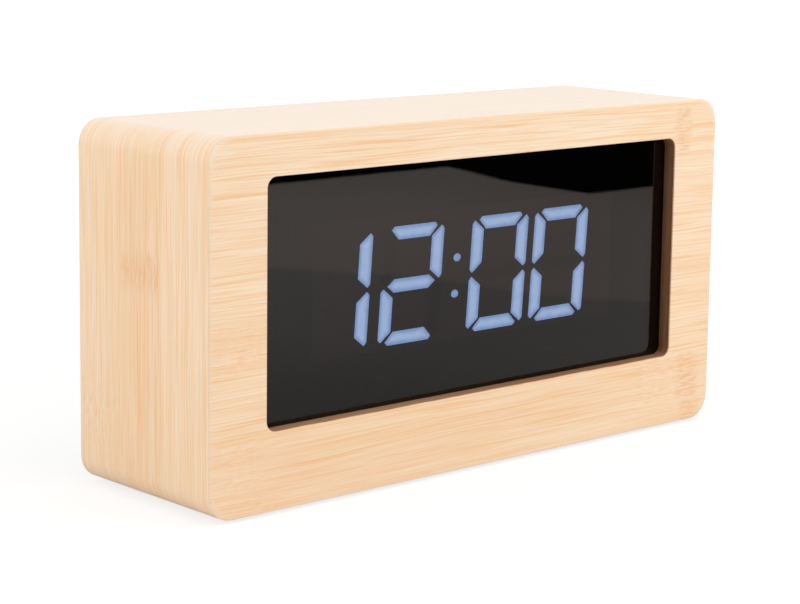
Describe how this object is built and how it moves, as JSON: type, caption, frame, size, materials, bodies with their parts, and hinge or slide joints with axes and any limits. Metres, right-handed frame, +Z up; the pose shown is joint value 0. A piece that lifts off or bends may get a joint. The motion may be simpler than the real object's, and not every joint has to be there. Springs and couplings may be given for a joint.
{
  "type": "led table clock",
  "caption": "Box-shaped table clock: veneered board case, smoked lens over lit seven-segment digits, rear cover with push buttons, slide switch, power inlet and hinged battery door.",
  "frame": {"origin": "middle of the base, under the feet, on the surface that the clock stands on", "axes": "+X along the front to the right as seen from the front, +Y from the front to the back, +Z up"},
  "size_m": [0.25, 0.075, 0.1292],
  "materials": {
    "bamboo_veneer": "satin bamboo veneer",
    "fibreboard": "raw fibreboard edge",
    "softwood": "planed",
    "foot_rubber": "matte",
    "smoked_acrylic": "smoked, glossy, see-through",
    "adhesive_tape": "foam tape",
    "black_plastic": "moulded",
    "reflector_plastic": "moulded, dark grey face",
    "lit_resin": "diffusing resin, lit",
    "unlit_resin": "diffusing resin, unlit",
    "circuit_laminate": "green solder mask",
    "led_resin": "moulded",
    "chip_resin": "moulded",
    "tinned_metal": "tinned",
    "contact_metal": "nickel plated",
    "screw_steel": "blackened",
    "capacitor_can": "sleeved",
    "sounder_plastic": "moulded",
    "header_plastic": "moulded",
    "ribbon_insulation": "flat cable",
    "switch_plastic": "moulded",
    "plunger_plastic": "moulded",
    "button_plastic": "moulded, pale raised symbols",
    "knob_plastic": "moulded",
    "cover_plastic": "fine moulded texture",
    "door_plastic": "fine moulded texture",
    "cell_jacket": "plain sleeve",
    "red_insulation": "wire insulation",
    "black_insulation": "wire insulation"
  },
  "bodies": {
    "case": {"board_screws": "screw_steel", "bottom_board": "fibreboard", "bracket_screws": "screw_steel", "bracket_tape": "adhesive_tape", "capacitor": "capacitor_can", "cell_1": "cell_jacket", "cell_2": "cell_jacket", "cell_3": "cell_jacket", "chip_parts": "chip_resin", "controller_legs": "tinned_metal", "corner_blocks": "softwood", "crystal": "tinned_metal", "display_board": "circuit_laminate", "display_bracket": "black_plastic", "display_reflector": "reflector_plastic", "driver_chip": "chip_resin", "driver_legs": "tinned_metal", "feet": "foot_rubber", "front_panel": "fibreboard", "front_veneer": "bamboo_veneer", "inlet_insulator": "black_plastic", "inlet_shell": "tinned_metal", "lead_negative": "black_insulation", "lead_positive": "red_insulation", "led_chips": "led_resin", "left_board": "fibreboard", "lens": "smoked_acrylic", "lens_tape": "adhesive_tape", "lit_segments": "lit_resin", "main_board": "circuit_laminate", "microcontroller": "chip_resin", "plate_contacts": "contact_metal", "rear_cover": "cover_plastic", "rear_screws": "screw_steel", "ribbon_cable": "ribbon_insulation", "ribbon_headers": "header_plastic", "right_board": "fibreboard", "slide_switch_body": "switch_plastic", "sounder": "sounder_plastic", "spring_contacts": "contact_metal", "tact_switches": "switch_plastic", "top_board": "fibreboard", "unlit_segments": "unlit_resin", "wrap_veneer": "bamboo_veneer"},
    "switch_knob": {"slide_switch_knob": "knob_plastic"},
    "battery_door_body": {"battery_door": "door_plastic"},
    "clock_button": {"button_clock": "button_plastic", "plunger_clock": "plunger_plastic"},
    "alarm_button": {"button_alarm": "button_plastic", "plunger_alarm": "plunger_plastic"},
    "up_button": {"button_up": "button_plastic", "plunger_up": "plunger_plastic"},
    "down_button": {"button_down": "button_plastic", "plunger_down": "plunger_plastic"}
  },
  "joints": [
    {"name": "clock_press", "type": "slide", "parent": "case", "child": "clock_button", "axis": [0, -1, 0], "range_m": [0, 0.0005], "stiffness_N_per_m": 1500},
    {"name": "alarm_press", "type": "slide", "parent": "case", "child": "alarm_button", "axis": [0, -1, 0], "range_m": [0, 0.0005], "stiffness_N_per_m": 1500},
    {"name": "up_press", "type": "slide", "parent": "case", "child": "up_button", "axis": [0, -1, 0], "range_m": [0, 0.0005], "stiffness_N_per_m": 1500},
    {"name": "down_press", "type": "slide", "parent": "case", "child": "down_button", "axis": [0, -1, 0], "range_m": [0, 0.0005], "stiffness_N_per_m": 1500},
    {"name": "alarm_switch_slide", "type": "slide", "parent": "case", "child": "switch_knob", "axis": [1, 0, 0], "range_m": [0, 0.002]},
    {"name": "battery_door_hinge", "type": "hinge", "parent": "case", "child": "battery_door_body", "pos_m": [0.06185, 0.0343, 0.04765], "axis": [-1, 0, 0], "range_deg": [0, 95]}
  ]
}
